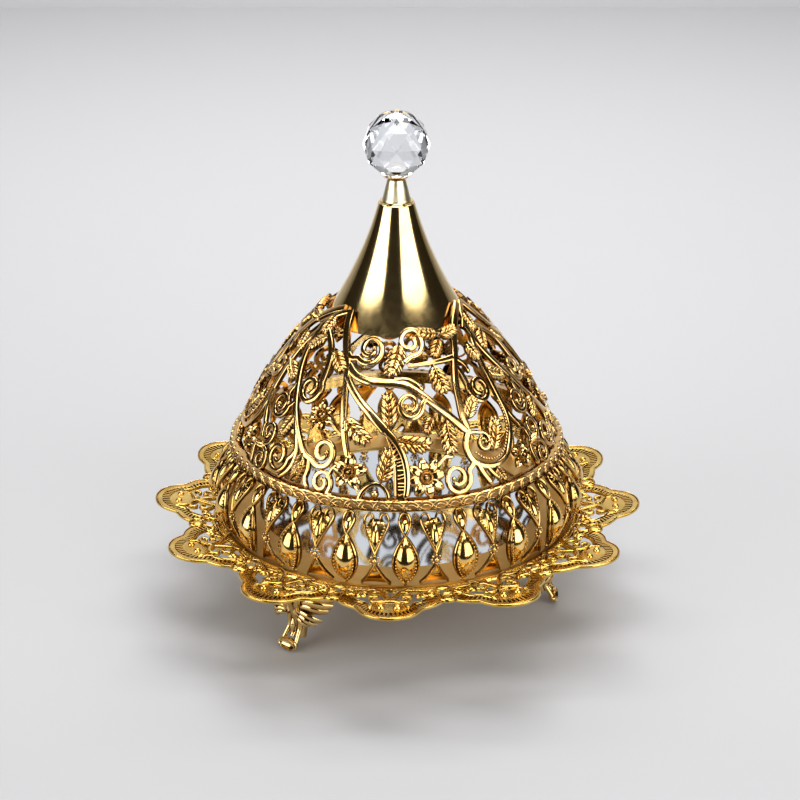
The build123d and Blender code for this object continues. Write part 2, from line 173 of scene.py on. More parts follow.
def ring_faces(sides, count):
    """Faces of a closed ring of stations with count corners each."""
    faces = []
    for side in range(sides):
        here, there = side * count, (side + 1) % sides * count
        for corner in range(count):
            after = (corner + 1) % count
            faces.append([here + corner, there + corner, there + after, here + after])
    return faces


def tube_faces(steps, count):
    """Faces of a tube of steps lengths with count corners round it, then its two ends."""
    faces = []
    for start in range(0, steps * count, count):
        for corner in range(count):
            after = (corner + 1) % count
            faces.append([start + corner, start + after, start + count + after, start + count + corner])
    return faces + [list(range(count))[::-1], list(range(steps * count, (steps + 1) * count))]


def lathe(profile, sides=96):
    """Turned part from (radius, height) stations, counterclockwise as seen with the axis on the left."""
    points = [at_azimuth(360 * step / sides, radius, height) for step in range(sides) for radius, height in profile]
    return points, ring_faces(sides, len(profile))


def solid(points, rows, wide, depth, outward, crossed=False):
    """A sheet of points, wide to a row, made solid by a back of the same shape.

    crossed starts each face along the other side, which decides how a bent face splits into triangles.
    """
    faces = []
    for here in [row * wide + column for row in range(rows) for column in range(wide - 1)]:
        face = [here, here + 1, here + wide + 1, here + wide]
        faces.append(face[:1] + face[:0:-1] if crossed else face)
    count = len(points)
    flip = normal_of(points, faces[0 if crossed else len(faces) // 2]).dot(outward) < 0
    made = [face[::-1] if flip else face for face in faces]
    made += [[index + count for index in face[::-1]] for face in made]
    edge = list(range(wide)) + [row * wide + wide - 1 for row in range(1, rows + 1)]
    edge += [rows * wide + column for column in range(wide - 2, -1, -1)]
    edge += [row * wide for row in range(rows - 1, 0, -1)]
    for here, there in zip(edge, edge[1:] + edge[:1]):
        wall = [here, there, there + count, here + count]
        made.append(wall if flip else wall[::-1])
    return points + [point - outward * depth for point in points], made


def smooth_course(places, step):
    """Even points along a smooth line through points."""
    ends = [2 * Vector(places[0]) - Vector(places[1])] + [Vector(place) for place in places]
    ends.append(2 * ends[-1] - ends[-2])
    fine = []
    for index in range(1, len(ends) - 2):
        before, start, stop, after = ends[index - 1:index + 3]
        for part in range(8):
            t = part / 8
            fine.append(0.5 * (2 * start + (stop - before) * t
                               + (2 * before - 5 * start + 4 * stop - after) * t ** 2
                               + (3 * start - before - 3 * stop + after) * t ** 3))
    fine.append(ends[-2])
    return even(fine, step)


def even(points, step):
    """Points at equal steps along a line of points."""
    lengths = [0.0]
    for here, there in zip(points, points[1:]):
        lengths.append(lengths[-1] + (there - here).length)
    count = max(2, ceil(lengths[-1] / step))
    result, index = [], 0
    for number in range(count + 1):
        wanted = lengths[-1] * number / count
        while index < len(points) - 2 and lengths[index + 1] < wanted:
            index += 1
        span = lengths[index + 1] - lengths[index] or 1.0
        result.append(points[index].lerp(points[index + 1], (wanted - lengths[index]) / span))
    return result


def flat_course(places, step):
    """A smooth line through places on a surface, whose coordinates are lengths."""
    return smooth_course([(*place, 0) for place in places], step)


def laid(surface, places, step):
    """Spots on a surface along a smooth line through places."""
    return [surface(place.x, place.y) for place in flat_course(places, step)]


def matched(line, share):
    """The member of a line nearest to a share of its length."""
    return line[round(share * (len(line) - 1))]


def taper(start, end, blunt=0.0):
    """Widths from start to end along a rod, which closes round over its last blunt share."""
    def width(share):
        value = start + (end - start) * share
        if blunt and share > 1 - blunt:
            value *= max(0.25, sqrt(max(0.0, 1 - ((share - 1 + blunt) / blunt) ** 2)))
        return value
    return width


def band(spots, widths, height, depth, section=ROUND):
    """Rod along spots; its section is raised by height and goes in by depth."""
    points = []
    last = len(spots) - 1
    for index, (point, outward) in enumerate(spots):
        along = (spots[min(index + 1, last)][0] - spots[max(index - 1, 0)][0]).normalized()
        aside = along.cross(outward).normalized()
        width = widths(index / last) if callable(widths) else widths
        tall = height * min(1.0, width / 1.2) if callable(widths) else height
        for across, up in section:
            points.append(point + aside * (across * width / 2) + outward * (up * (tall if up > 0 else depth)))
    return points, tube_faces(last, len(section))


def ring_bar(spotter, radius, width, height, sides=16, centre=(0, 0)):
    """Closed ring of round section on a surface."""
    points = []
    for side in range(sides):
        angle = 2 * pi * side / sides
        middle, outward = spotter(centre[0] + radius * cos(angle), centre[1] + radius * sin(angle))
        other, _ = spotter(centre[0] + (radius + 1) * cos(angle), centre[1] + (radius + 1) * sin(angle))
        aside = (other - middle).normalized()
        for across, up in ROUND:
            points.append(middle + aside * (across * width / 2) + outward * (up * (height if up > 0 else 1.0)))
    return points, ring_faces(sides, len(ROUND))


def button(centre, outward, radius, height, sides=8, rings=2):
    """Low polygon button with a closed back."""
    across = outward.cross(Vector((0.13, 0.2, 0.97))).normalized()
    up = outward.cross(across).normalized()
    points = [centre + outward * height]
    faces = []
    for ring in range(1, rings + 1):
        angle = pi / 2 * ring / rings
        for side in range(sides):
            turn = 2 * pi * side / sides
            points.append(centre + (across * cos(turn) + up * sin(turn)) * radius * sin(angle)
                          + outward * height * cos(angle))
    for side in range(sides):
        after = (side + 1) % sides
        faces.append([0, 1 + side, 1 + after])
        for here in range(1, 1 + (rings - 1) * sides, sides):
            faces.append([here + side, here + sides + side, here + sides + after, here + after])
    base = 1 + (rings - 1) * sides
    faces.append([base + side for side in range(sides)][::-1])
    if normal_of(points, faces[0]).dot(points[faces[0][1]] - centre + outward * 1e-3) < 0:
        faces = [face[::-1] for face in faces]
    return points, faces


def petal_relief(spotter, origin, length, width, tilt, base=1.2, crown=1.6, crease=0.0, rows=6, columns=4):
    """Puffed petal or lobe on any surface, from its root at origin; spotter gives the surface's spots."""
    angle = radians(tilt)
    points = []
    for row in range(rows + 1):
        share = row / rows
        half = width / 2 * max(0.06, sin(pi * (0.12 + 0.88 * share) ** 0.85)) ** 0.6
        for column in range(-columns, columns + 1):
            side = column / columns
            along, across = share * length, side * half
            lift = crown * (1 - side ** 2) ** 0.5 * max(0.1, sin(pi * min(1, 0.08 + 0.92 * share))) ** 0.5
            lift -= crease * (1 - abs(side))
            spot, outward = spotter(origin[0] + along * cos(angle) - across * sin(angle),
                                    origin[1] + along * sin(angle) + across * cos(angle))
            points.append(spot + outward * lift)
    return solid(points, rows, 2 * columns + 1, base, spotter(*origin)[1], True)


# ---------------------------------------------------------------- node trees
def fill(node, values):
    """Fills a node's inputs: an output is linked to its input, and anything else becomes the input's value."""
    for name, value in values.items():
        if isinstance(value, bpy.types.NodeSocket):
            node.id_data.links.new(value, node.inputs[name])
        else:
            node.inputs[name].default_value = value
    return node


def add(tree, kind, values=None, **settings):
    """A new node with its settings made and its inputs filled."""
    node = tree.nodes.new(kind)
    for name, value in settings.items():
        setattr(node, name, value)
    return fill(node, values or {})


def maths(tree, operation, *values, kind="ShaderNodeMath", output=0):
    """What a Math or Vector Math node gives for its values."""
    return add(tree, kind, dict(enumerate(values)), operation=operation).outputs[output]


def new_tree(name, inputs):
    """A tree of a geometry, named inputs and a material, with the outputs of its input node."""
    tree = bpy.data.node_groups.new(name, "GeometryNodeTree")
    for label, kind in (("Geometry", "Geometry"), *inputs, ("Material", "Material")):
        tree.interface.new_socket(label, in_out="INPUT", socket_type="NodeSocket" + kind)
    tree.interface.new_socket("Geometry", in_out="OUTPUT", socket_type="NodeSocketGeometry")
    return tree, tree.nodes.new("NodeGroupInput").outputs


def closed_tree(tree, given, points, instance, **turns):
    """Ends a tree with copies of an instance on points, made real and in the given material."""
    place = add(tree, "GeometryNodeInstanceOnPoints", {"Points": points, "Instance": instance, **turns})
    real = add(tree, "GeometryNodeRealizeInstances", {0: place.outputs["Instances"]})
    paint = add(tree, "GeometryNodeSetMaterial", {"Geometry": real.outputs[0], "Material": given["Material"]})
    add(tree, "NodeGroupOutput", {0: paint.outputs[0]})
    return tree


def ring_tree():
    """Copies of a shape round the upright axis: inputs Count, First (radians) and Material."""
    tree, given = new_tree("ring of copies", (("Count", "Int"), ("First", "Float")))
    line = add(tree, "GeometryNodeMeshLine", {"Offset": (0, 0, 0), "Count": given["Count"]}, mode="OFFSET")
    step = maths(tree, "DIVIDE", 2 * pi, given["Count"])
    share = maths(tree, "MULTIPLY", add(tree, "GeometryNodeInputIndex").outputs[0], step)
    spin = add(tree, "ShaderNodeCombineXYZ", {"Z": maths(tree, "ADD", share, given["First"])})
    return closed_tree(tree, given, line.outputs["Mesh"], given["Geometry"], Rotation=spin.outputs[0])


def bead_tree():
    """A bead on each point: inputs Radius and Material. The points carry their own size."""
    tree, given = new_tree("row of beads", (("Radius", "Float"),))
    ball = add(tree, "GeometryNodeMeshIcoSphere", {"Subdivisions": 2, "Radius": given["Radius"]})
    size = add(tree, "GeometryNodeInputNamedAttribute", {"Name": "size"}, data_type="FLOAT")
    return closed_tree(tree, given, given["Geometry"], ball.outputs["Mesh"], Scale=size.outputs["Attribute"])


RING = ring_tree()
BEADS = bead_tree()


def worked_out(thing, tree, values):
    """Runs a tree on a thing's mesh and keeps the result as a plain mesh."""
    modifier = thing.modifiers.new("tree", "NODES")
    modifier.node_group = tree
    for item in tree.interface.items_tree:
        if item.in_out == "INPUT" and item.name in values:
            modifier[item.identifier] = values[item.name]
    bpy.context.view_layer.update()
    graph = bpy.context.evaluated_depsgraph_get()
    made = bpy.data.meshes.new_from_object(thing.evaluated_get(graph))
    thing.modifiers.clear()
    thing.data = made


def ringed(name, kind, parts, count, first, replaced=(), sharp=40):
    """A piece of even copies round the axis of a shape that faces the front."""
    thing = raw(name, parts)
    worked_out(thing, RING, {"Count": count, "First": radians(first), "Material": kind[2]})
    finish_piece(thing, kind, replaced, sharp)


def beads(name, kind, spots, radius, count, first=0.0):
    """Beads at (point, size) spots, copied evenly round the axis."""
    places = [(Matrix.Rotation(radians(first + 360 / count * index), 3, "Z") @ point, size)
              for index in range(count) for point, size in spots]
    thing = raw(name, [([point for point, _ in places], [])])
    thing.data.attributes.new("size", "FLOAT", "POINT").data.foreach_set("value", [size for _, size in places])
    worked_out(thing, BEADS, {"Radius": radius * MM, "Material": kind[2]})
    finish_piece(thing, kind, (), 80)


# ---------------------------------------------------------------- materials
def material(name):
    """A new material, its node tree and its shader."""
    made = bpy.data.materials.new(name)
    made.use_nodes = True
    return made, made.node_tree, made.node_tree.nodes["Principled BSDF"]


def noise(tree, where, scale, detail=2.0):
    return add(tree, "ShaderNodeTexNoise", {"Scale": scale, "Detail": detail, "Vector": where}).outputs["Fac"]


def tones(tree, value, low, high, start=0.0, stop=1.0):
    """The colour from low to high that a value from start to stop stands for."""
    ramp = add(tree, "ShaderNodeValToRGB", {"Fac": value})
    for element, colour, position in zip(ramp.color_ramp.elements, (low, high), (start, stop)):
        element.position = position
        element.color = (*colour, 1)
    return ramp.outputs["Color"]


def ranged(tree, value, low, high, start=0.0, stop=1.0):
    """A value from start to stop, spread from low to high."""
    return add(tree, "ShaderNodeMapRange", {"From Min": start, "From Max": stop, "To Min": low, "To Max": high,
                                            "Value": value}).outputs["Result"]


def bumps(tree, value, strength, distance):
    return add(tree, "ShaderNodeBump", {"Strength": strength, "Distance": distance,
                                        "Height": value}).outputs["Normal"]


def plated(name, pale, deep, rough, ripple, ripple_size=90.0, shade_strength=0.0, rise=None):
    """Polished plate: colour drifts between two golds, and a slight ripple breaks the reflections.

    Painted shade darkens hollows, and also the flanks that turn away from the piece's main face, which leans up by
    rise degrees.
    """
    made, tree, shader = material(name)
    where = add(tree, "ShaderNodeTexCoord").outputs["Object"]
    cloud = noise(tree, where, ripple_size, 3.0)
    source = tones(tree, cloud, deep, pale, 0.35, 0.68)
    # painted shade: ambient occlusion darkens the hollows towards a dark brown, and the turned-away flanks darken too
    if shade_strength:
        hollow = add(tree, "ShaderNodeAmbientOcclusion", {"Distance": 0.003}, samples=6).outputs["AO"]
        shade_share = ranged(tree, hollow, shade_strength, 0.0, 0.2, 0.75)
        if rise is not None:
            shade_share = maths(tree, "MAXIMUM", shade_share, painted_flank_shade(tree, where, radians(rise), shade_strength))
        source = add(tree, "ShaderNodeMix", {"Factor": shade_share, "A": source, "B": PAINTED_SHADE_COLOUR},
                     data_type="RGBA", blend_type="MIX").outputs["Result"]
    gloss = ranged(tree, noise(tree, where, ripple_size * 9), rough * 0.7, rough * 1.4)
    fill(shader, {"Metallic": 1.0, "Base Color": source, "Roughness": gloss,
                  "Normal": bumps(tree, cloud, ripple, 0.0004)})
    return made


def painted_flank_shade(tree, where, rise, most):
    """Painted shade on faces that turn from the direction which is outwards from the axis and up by rise."""
    def vector(operation, *values, output="Vector"):
        return maths(tree, operation, *values, kind="ShaderNodeVectorMath", output=output)
    level = vector("NORMALIZE", vector("MULTIPLY", where, (1, 1, 0)))
    lean = vector("MULTIPLY_ADD", level, (cos(rise),) * 3, (0, 0, sin(rise)))
    facing = vector("DOT_PRODUCT", lean, add(tree, "ShaderNodeNewGeometry").outputs["Normal"], output="Value")
    return ranged(tree, maths(tree, "ABSOLUTE", facing), most, 0.0, 0.35, 0.86)


def crystal_material():
    made, tree, shader = material("crystal")
    polish = noise(tree, add(tree, "ShaderNodeTexCoord").outputs["Object"], 500)
    fill(shader, {"Base Color": (0.95, 0.97, 1.0, 1), "Roughness": 0.0, "IOR": 1.52, "Transmission Weight": 1.0,
                  "Normal": bumps(tree, polish, 0.02, 0.0001)})
    return made


def plain_material(name, colour, rough, metal=0.0, grain=400, spread=0.12):
    """One colour with a slight grain in it."""
    made, tree, shader = material(name)
    cloud = noise(tree, add(tree, "ShaderNodeTexCoord").outputs["Object"], grain, 4.0)
    low, high = [value * (1 - spread) for value in colour], [min(1, value * (1 + spread)) for value in colour]
    fill(shader, {"Metallic": metal, "Base Color": tones(tree, cloud, low, high),
                  "Roughness": ranged(tree, cloud, rough * 0.8, min(1.0, rough * 1.2))})
    return made


# the openwork, gallery, rim and feet golds carry painted shade in their hollows; the openwork's and gallery's also on
# their flanks
dome_gold = plated("polished_gold_openwork", (0.93, 0.64, 0.26), (0.72, 0.41, 0.12), 0.13, 0.10, shade_strength=0.85,
                   rise=38)
gallery_gold = plated("polished_gold_gallery", (0.93, 0.63, 0.22), (0.74, 0.43, 0.10), 0.12, 0.08, shade_strength=0.8,
                      rise=8)
rim_gold = plated("yellow_gold_rim", (0.75, 0.51, 0.14), (0.55, 0.33, 0.06), 0.20, 0.10, 90.0, 0.8)
foot_gold = plated("polished_gold_feet", (0.85, 0.61, 0.26), (0.66, 0.42, 0.14), 0.14, 0.10, shade_strength=0.8)
# a dark gold that paints the shade on the ground behind the chain border
shade_painted_gold = plated("gold_floor_painted_shade", (0.42, 0.26, 0.09), (0.27, 0.15, 0.05), 0.30, 0.10, 120.0)
neck_brass = plated("turned_brass_neck", (0.88, 0.80, 0.52), (0.80, 0.70, 0.42), 0.30, 0.05, 60.0)
cap_gold = plated("pale_gold_cap", (0.93, 0.70, 0.33), (0.85, 0.60, 0.24), 0.11, 0.012, 30.0)
ledge_gold = plated("satin_gold_ledge", (0.76, 0.50, 0.17), (0.64, 0.40, 0.11), 0.34, 0.02, 60.0)
crystal = crystal_material()
mirror_glass = plain_material("mirror_face", (0.62, 0.66, 0.70), 0.06, 1.0, 60, 0.04)
steel = plain_material("plain_steel", (0.55, 0.55, 0.56), 0.35, 1.0)
tape = plain_material("foam_tape", (0.03, 0.03, 0.03), 0.9)

# kinds of piece: body, slot and material
OPENWORK = ("lid", "dome_gold", dome_gold)
GALLERY = ("base", "gallery_gold", gallery_gold)
RIM = ("base", "tray_gold", rim_gold)


# ---------------------------------------------------------------- the dome
def cap_radius(share):
    straight = CAP_FOOT_RADIUS + (CAP_HEAD_RADIUS - CAP_FOOT_RADIUS) * share
    return straight - 4 * CAP_FLARE * share * (1 - share)


# the arc that the dome's outline follows, its centre across and up
NECK = cap_radius(CAP_OVERLAP / CAP_HEIGHT) + DOME_LAP
chord = hypot(DOME_FOOT - NECK, DOME_HEIGHT)
arc_radius = (chord ** 2 / 4 + DOME_BULGE ** 2) / (2 * DOME_BULGE)
arc_back = arc_radius - DOME_BULGE
arc_across = (DOME_FOOT + NECK) / 2 - arc_back * DOME_HEIGHT / chord
arc_up = LID_SEAT + DOME_HEIGHT / 2 - arc_back * (DOME_FOOT - NECK) / chord


def dome_slope(height):
    return asin((height - arc_up) / arc_radius)


def dome_reach(height):
    return arc_across + arc_radius * cos(dome_slope(height))


def on_dome(azimuth, height, inward=0.0):
    """Spot on the dome at an azimuth and height, pulled in by a distance."""
    slope = dome_slope(height)
    outward = at_azimuth(azimuth, cos(slope), sin(slope))
    return at_azimuth(azimuth, dome_reach(height), height) - outward * inward, outward


def dome_spots(places, step=1.6, inward=SINK):
    """Spots along a smooth line through (azimuth, height) places."""
    line = smooth_course([on_dome(*place)[0] for place in places], step)
    return [on_dome(degrees(atan2(point.x, -point.y)), point.z, inward) for point in line]


def dome_place(azimuth, height, across, up):
    """The (azimuth, height) of a place that lies across and up from another, in millimetres on the dome."""
    new_height = height + up * cos(dome_slope(height))
    return azimuth + degrees(across / dome_reach((height + new_height) / 2)), new_height


def local_dome(azimuth, height, inward=0.6):
    """The dome as a flat surface about a place."""
    return lambda across, up: on_dome(*dome_place(azimuth, height, across, up), inward)


def spiral(radius, start, turn):
    """Places of a spiral that starts on its rim at an angle and winds inwards, as lengths on the surface."""
    steps = max(6, round(abs(turn) / SCROLL_STEP))
    places = []
    for index in range(steps + 1):
        share = index / steps
        angle = radians(start + turn * share)
        reach = radius * (1 - SCROLL_TIGHT * share)
        places.append((reach * cos(angle), reach * sin(angle)))
    return places


def stroke(places, start, end, height=1.3):
    return band(dome_spots(places), taper(start * WIDER, end * WIDER, 0.04), height, 1.1, BROAD)


def leaf(place, length, width, tilt, bend):
    """Leaf from its root at an (azimuth, height) place: long puffed lobes slant off a raised midrib."""
    spotter = local_dome(*place, SINK)
    rib, here = [(0.0, 0.0)], Vector((0, 0))
    for index in range(LEAF_STEPS):
        heading = radians(tilt + bend * ((index + 0.5) / LEAF_STEPS - 0.5))
        here = here + Vector((cos(heading), sin(heading))) * length / LEAF_STEPS
        rib.append(tuple(here))
    lobes = []
    for index in range(LEAF_LOBES):
        share = 0.06 + 0.8 * index / LEAF_LOBES
        heading = tilt + bend * (share - 0.5)
        envelope = sin(pi * min(1.0, 0.2 + 0.72 * share + 0.08)) ** 0.7
        lobes += [(share, width * 0.72 * envelope + 1.6, length / LEAF_LOBES * 0.98,
                   heading + side * (44 - 10 * share)) for side in (-1, 1)]
    lobes.append((0.74, length * 0.28, width * 0.36, tilt + bend * 0.4))
    parts = [petal_relief(spotter, rib[round(share * LEAF_STEPS)], long, wide, heading, 1.2, LEAF_PUFF, 0.0, 4, 2)
             for share, long, wide, heading in lobes]
    parts.append(band([spotter(*spot) for spot in rib[:-1]], taper(1.5, 0.7), LEAF_PUFF + 0.25, 1.0))
    return parts


def flower(place, reach, turn, petals, width, crease, rows, root, ring, disc, eye, rise):
    """Creased petals about a ring of a height with a disc and an eye in it."""
    spotter = local_dome(*place)
    parts = []
    for index in range(petals):
        angle = turn + 360 / petals * index
        start = (root * cos(radians(angle)), root * sin(radians(angle)))
        parts.append(petal_relief(spotter, start, reach - root, width, angle, crown=2.6, crease=crease, rows=rows))
    centre, outward = spotter(0, 0)
    return parts + [ring_bar(spotter, ring, 1.6, rise), button(centre, outward, disc, 1.2, 12),
                    button(centre, outward, eye, rise)]


def blossom(place, reach=11.2, turn=18, petals=5):
    return flower(place, reach, turn, petals, reach * 3.3 / petals, 1.7, 8, 2.9, 2.7, 3.0, 1.3, 3.0)


# stems as (places, width at the start, width at the end), on one third of the dome
STEMS = (
    (((-44, 200), (-39, 192.5), (-33, 184), (-28, 176.5), (-26, 169), (-24.3, 159), (-22.3, 148), (-20, 138),
     (-17.8, 130.5)), 4.0, 3.0),
    (((-27.3, 176), (-22, 172), (-15, 169.8), (-8, 169.5), (0, 169.2), (6, 167.6), (11, 164), (16, 159.3),
     (21, 154), (26, 147.5), (29.5, 142)), 4.2, 4.0),
    (((-1, 170.8), (5, 171), (9.5, 169), (13, 165.5)), 2.6, 1.6),
    (((-26.2, 170.5), (-21.5, 165), (-16, 159), (-11, 154), (-7, 149.3), (-3.6, 145)), 3.6, 4.8),
    (((68, 200), (60, 198), (50, 194), (42, 188), (37, 181), (33, 173.5), (30.5, 166.5), (29.5, 157.5),
     (29, 149.5), (30, 143)), 4.0, 3.4),
    (((30, 143), (27.4, 136.5), (28, 129.5), (31, 124.5), (37, 122), (43, 124), (47, 130), (50, 136.5),
     (51.5, 144.5), (51.2, 153), (51, 163), (51.5, 172), (54, 181), (59, 188)), 3.0, 3.0),
    (((-45, 199.5), (-53, 197), (-59, 193.6), (-62.6, 189.5)), 3.4, 3.4),
    (((-66.5, 189.5), (-61, 192.5), (-56, 194.5)), 2.4, 3.0),
    (((6.5, 177.3), (14, 177.6), (23, 178), (31.5, 178.4), (35.4, 178.8)), 1.6, 3.4),
    (((-33.2, 126.5), (-32.8, 121), (-33.2, 116), (-31.5, 111.3)), 2.2, 2.4),
    (((30.4, 126), (32, 119.5), (34.5, 112.5)), 3.0, 2.6),
    (((34, 122.8), (36.2, 117.5), (40, 112)), 2.2, 2.0),
    (((36.2, 177.5), (39.5, 173.8), (40.3, 169.5)), 2.4, 1.8),
    (((-46.8, 147), (-43.5, 140), (-40.5, 132), (-39.6, 124), (-41.5, 117), (-45, 112)), 3.0, 2.4),
    (((-12.6, 110.4), (-11.6, 114.6), (-9.4, 118), (-7, 119.2), (-4.8, 118), (-3.2, 114.8), (-2.6, 110.6)), 2.4,
     2.0),
    (((-68.5, 151), (-66, 141.5), (-62, 133.5), (-60.5, 127.5)), 2.8, 2.4),
    (((-60.5, 128), (-62.6, 121), (-61, 111.5)), 2.4, 2.2),
    (((-53.5, 160), (-55, 153.5), (-52, 148)), 2.0, 1.8),
    (((14.8, 127.5), (18.2, 131.5), (21.8, 131)), 1.8, 1.6),
    (((-24.4, 119.5), (-23.2, 124.5), (-20.8, 128)), 1.8, 1.6),
    (((3.2, 120), (5.6, 121.5)), 1.8, 1.8),
    (((-62, 180), (-57.5, 182.5), (-52.5, 184.5), (-49, 186.6)), 1.6, 2.0),
)
# scrolls as (lead, centre, radius, start angle, turn, widths)
SCROLLS = (
    (((-59.5, 190.8), (-52, 187.5), (-45, 183), (-40, 176.5)), (-44.3, 160.6), 8.3, 38, -500, 3.4, 2.2),
    (((-62.8, 190), (-62, 179), (-58, 169), (-52, 157.5), (-47, 147), (-41, 136.5), (-36, 129)), (-28.2, 132),
     8.0, -140, 500, 3.6, 2.2),
    (((-29.8, 181), (-26.8, 179.3)), (-16.3, 184.6), 8.3, -140, 520, 3.4, 2.0),
    (((4.5, 179.2), (6.8, 180.6)), (9.2, 188.6), 8.2, -95, 520, 3.0, 2.0),
    (((12.2, 163.2), (13.6, 161.2)), (5.9, 158.6), 7.6, 5, -520, 2.8, 2.0),
    (((33.8, 174), (35.4, 170.4)), (42.2, 161.4), 7.8, 155, 520, 2.8, 2.0),
    (((29.4, 127.4), (28, 124.6)), (21.7, 119.9), 8.4, 20, -560, 2.6, 1.8),
    (((-40, 130), (-40.8, 126)), (-47.6, 122.8), 8.6, 5, -520, 2.6, 2.0),
    (((-49.5, 151.6), (-50.8, 149.6)), (-57.2, 147.8), 7.8, 10, -520, 2.6, 1.9),
    (((-64.5, 138.5), (-63.5, 135)), (-57.0, 131.5), 7.4, 160, 520, 2.4, 1.8),
    (((-22.2, 110.4),), (-26.6, 116.4), 6.6, -45, 500, 2.4, 1.8),
    (((-59.5, 126.4), (-58.4, 124.4)), (-56.6, 116.2), 6.6, 100, -480, 2.2, 1.7),
    (((29.6, 141.5), (31.6, 141.6)), (35.2, 135.2), 5.2, 100, -470, 2.2, 1.6),
)
# leaves as (root, length, width, tilt, bend)
LEAVES = (
    ((-22.6, 151.5), 22, 9.6, -38, 26), ((-3.0, 147.2), 21, 8.6, 96, 14), ((-0.6, 142.2), 22, 9.4, -8, 34),
    ((21.0, 149.2), 20, 9.0, -88, 10), ((-5.6, 119.4), 21, 9.6, 76, 12), ((20.4, 177), 19, 8.8, -76, 10),
    ((1.6, 188), 22, 8.6, -104, -14), ((30.6, 189.6), 14, 6.6, 8, 10), ((30.2, 190.6), 14, 6.6, 168, -14),
    ((29.6, 188.2), 13, 7.2, -122, 10), ((30.6, 148), 15, 8.4, 52, -10), ((37.5, 129.2), 21, 9.2, 60, 18),
    ((-39.2, 181.6), 16, 7.4, -48, 8), ((47.6, 183.4), 13, 6.4, -72, 10), ((-46.2, 145.4), 15, 6.8, -112, 12),
    ((-36.2, 128.8), 14, 7.0, -98, 14), ((-38.6, 113.2), 13, 6.6, 62, 10), ((-54.5, 196), 14, 6.6, -96, 10),
    ((-51.5, 185.4), 14, 6.8, -128, 12), ((52, 168), 15, 7.2, -30, 10), ((57.5, 124), 9, 6, 8, 0),
    ((15.5, 152.5), 11, 5.6, -120, 8), ((37.5, 121.4), 11, 5.8, -64, 10),
)


def dome_casting():
    """Stems, scrolls, leaves and flowers of one casting."""
    parts = [stroke(*stem) for stem in STEMS]
    for lead, centre, radius, start, turn, wide, narrow in SCROLLS:
        places = spiral(radius, start, turn)
        course = list(lead) + [dome_place(*centre, across, up * TALLER) for across, up in places]
        parts.append(stroke(course, wide, narrow * 1.2))
        parts.append(button(*on_dome(*dome_place(*centre, *places[-1]), SINK), narrow * 0.8, 1.9))
    for values in LEAVES:
        parts += leaf(*values)
    parts += blossom((-17, 124)) + blossom((-33, 150), 9.4, 40, 6) + blossom((51.3, 121.5), 8.8, 0)
    parts += flower((10.5, 122), 12.0, 10, 8, 6.8, 0.9, 6, 3.2, 3.0, 3.3, 1.6, 2.8)
    parts += crescent()
    parts.append(button(*on_dome(-7.3, 114, SINK), 2.6, 3.2))
    return parts


CRESCENT_OUT = ((-4.2, 146.2), (-0.4, 141), (2.4, 134), (3.6, 126), (3.6, 118), (2.9, 111.3))
CRESCENT_IN = ((-4.4, 145.2), (-2.6, 139.5), (-1.2, 133), (-0.7, 126), (-0.5, 118), (-0.4, 111.3))
PAISLEY = ((30.3, 131), (33, 127.4), (37.2, 125.6), (41.8, 127.4), (45.2, 132.6), (48, 139), (49.2, 146), (48.8, 152))


def crescent():
    """The branch's foot: a bold edge, a fine edge, and teeth across the sunk floor between them."""
    parts = [stroke(CRESCENT_OUT, 4.0, 2.8, 1.9), stroke(CRESCENT_IN, 1.3, 1.2, 1.2)]
    outer, inner = dome_spots(CRESCENT_OUT, 1.9), dome_spots(CRESCENT_IN, 1.9)
    rows = min(len(outer), len(inner)) - 1
    points = [matched(line, row / rows)[0] for row in range(rows + 1) for line in (outer, inner)]
    parts.append(solid(points, rows, 2, 0.9, on_dome(0, 128)[1]))
    for row in range(4, 5 * rows // 2, 3):
        near, far = matched(outer, row / rows / 2.5), matched(inner, row / rows / 2.5)
        parts.append(band([near, (near[0].lerp(far[0], 0.75), near[1])], 1.5, 1.7, 0.5))
    return parts


def dome():
    """The castings, each standing for its own solid, and the beads along the edges of their paisleys."""
    casting = put(dome_casting())
    for index in range(CASTINGS):
        piece(f"openwork_{index + 1}", OPENWORK, [turned(casting, 360 / CASTINGS * index)],
              (f"dome_casting_{index + 1}",), 50)
    spots = [(point + outward * 1.1, 0.85) for point, outward in dome_spots(PAISLEY, 1.9, 0.5)]
    beads("openwork_beads", OPENWORK, spots, 1.0, CASTINGS)


# ---------------------------------------------------------------- the gallery
def gallery_reach(height):
    share = (height - LEDGE) / (RAIL_FOOT - LEDGE)
    return GALLERY_FOOT + (RAIL - GALLERY_FOOT) * share + 4 * GALLERY_BULGE * share * (1 - share)


def on_gallery(across, height, inward=0.8):
    """Spot on the gallery's bowed wall, near its front."""
    slope = gallery_reach(height + 0.5) - gallery_reach(height - 0.5)
    tilt = Vector((0, -1, -slope)).normalized()
    turn = Matrix.Rotation(across / GALLERY_ROUND, 3, "Z")
    return turn @ (Vector((0, -gallery_reach(height), height)) - tilt * inward), turn @ tilt


def gallery_sheet(rows, columns, foot, tall, half, lift, depth):
    """Solid relief on the gallery: half(share) is half its width, and lift(side, share) how far it stands off."""
    points = []
    for row in range(rows + 1):
        share = row / rows
        for side in [column / columns for column in range(-columns, columns + 1)]:
            spot, outward = on_gallery(side * half(share), foot + tall * share)
            points.append(spot + outward * lift(side, share))
    return solid(points, rows, 2 * columns + 1, depth, FRONT)


def marquise_half(share):
    return 7.8 * sin(pi * min(1.0, max(0.0, share))) ** 0.78


def marquise_lift(across, share):
    """How far a marquise's boss stands off, which is most at its belly."""
    return 0.4 + 4.6 * (1 - across ** 2) ** 0.6 * max(0.0, 1 - abs(2 * share - 0.95) ** 1.45)


